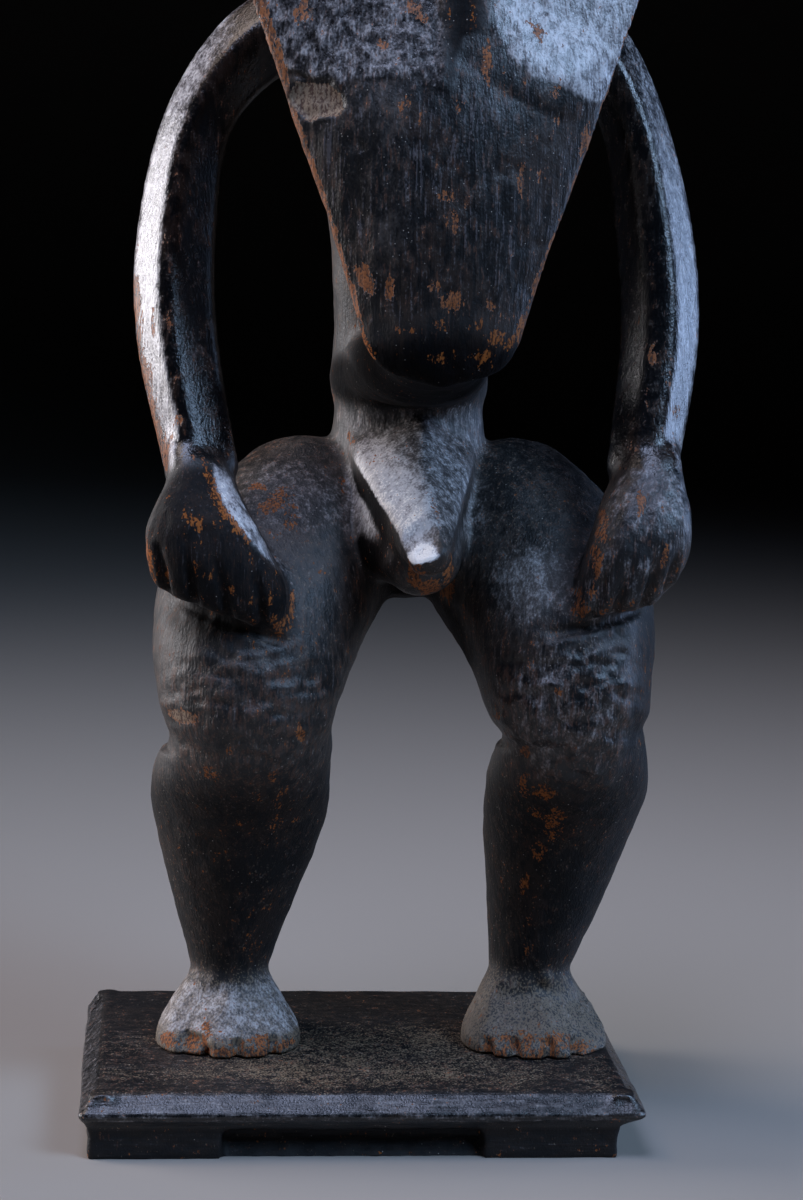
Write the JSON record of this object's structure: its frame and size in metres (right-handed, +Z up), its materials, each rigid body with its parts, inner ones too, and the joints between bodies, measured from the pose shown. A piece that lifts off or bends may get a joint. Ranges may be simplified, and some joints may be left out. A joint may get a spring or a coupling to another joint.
{
  "type": "hunting amulet figure",
  "caption": "Carved dark wooden man in a half crouch, hands on thighs, with a huge flat tapering face, on a moulded rectangular plinth.",
  "frame": {"origin": "middle of the underside of the whole amulet's outer box, on the surface it stands on", "axes": "+Z up, +X to the viewer's right, the figure faces -Y"},
  "size_m": [0.091, 0.068, 0.2102],
  "materials": {
    "figure_wood": "smoke-blackened hardwood, hand-polished to a satin gloss on the ridges, worn to bare brown wood at edges and chips",
    "plinth_wood": "dark stained wood, dusty brown on top, glossier along the worn ridge"
  },
  "bodies": {
    "root": {"figure": "figure_wood", "plinth": "plinth_wood"}
  },
  "joints": []
}
